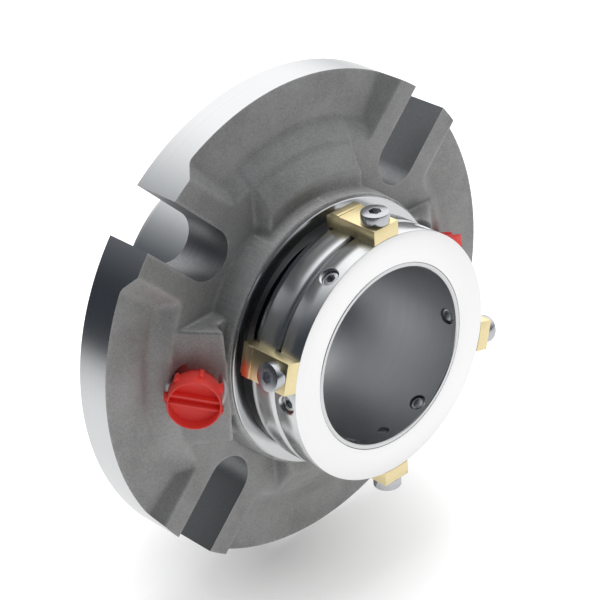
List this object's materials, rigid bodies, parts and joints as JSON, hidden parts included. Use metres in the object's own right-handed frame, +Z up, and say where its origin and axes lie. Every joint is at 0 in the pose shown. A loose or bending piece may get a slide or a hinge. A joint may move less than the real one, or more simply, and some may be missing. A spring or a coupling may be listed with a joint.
{
  "type": "cartridge mechanical seal",
  "caption": "Cartridge mechanical seal: cast round gland with open bolt slots and plugged side ports, and a shaft sleeve with a clamp ring held by screwed-on brass setting clips.",
  "frame": {"origin": "on the seal's axis, in the plane of the gland's mounting face", "axes": "the seal's axis is Y, the outboard front with the clamp ring looks towards -Y, X is to the right through the ports and Z is up"},
  "size_m": [0.18, 0.0939, 0.18],
  "materials": {
    "cast_gland": "blasted cast stainless steel, machined on rim, lip, slots and pilot",
    "turned_steel": "fine turned stainless steel",
    "screw_steel": "bright machined stainless steel",
    "spring_steel": "cold rolled spring steel",
    "clip_brass": "satin machined brass",
    "red_plastic": "moulded polyethylene",
    "carbon": "lapped carbon graphite",
    "hard_face": "lapped silicon carbide",
    "o_ring_rubber": "moulded fluoroelastomer"
  },
  "bodies": {
    "gland": {"gland_plate": "cast_gland", "gland_o_ring": "o_ring_rubber", "throttle_bush": "carbon", "bush_retaining_ring": "spring_steel", "anti_rotation_pins": "screw_steel", "stationary_o_ring": "o_ring_rubber", "wave_spring": "spring_steel", "port_plug_left": "red_plastic", "port_plug_right": "red_plastic"},
    "rotor": {"shaft_sleeve": "turned_steel", "clamp_ring": "turned_steel", "clamp_retaining_ring": "spring_steel", "grub_screw_1": "screw_steel", "grub_screw_2": "screw_steel", "grub_screw_3": "screw_steel", "grub_screw_4": "screw_steel", "grub_screw_5": "screw_steel", "grub_screw_6": "screw_steel", "drive_screw_1": "screw_steel", "drive_screw_2": "screw_steel", "setting_clip_top": "clip_brass", "setting_clip_left": "clip_brass", "setting_clip_bottom": "clip_brass", "setting_clip_right": "clip_brass", "clip_screw_top": "screw_steel", "clip_screw_left": "screw_steel", "clip_screw_bottom": "screw_steel", "clip_screw_right": "screw_steel", "rotary_ring": "hard_face", "rotary_o_ring": "o_ring_rubber", "rotary_drive_pins": "screw_steel", "sleeve_o_ring": "o_ring_rubber"},
    "face": {"stationary_ring": "carbon"}
  },
  "joints": [
    {"name": "rotor_spin", "type": "hinge", "parent": "gland", "child": "rotor", "pos_m": [0, 0, 0], "axis": [0, -1, 0], "continuous": true},
    {"name": "face_float", "type": "slide", "parent": "gland", "child": "face", "axis": [0, 1, 0], "range_m": [-0.0012, 0], "stiffness_N_per_m": 15000, "springref_m": 0.004, "deforming": ["wave_spring"]}
  ]
}
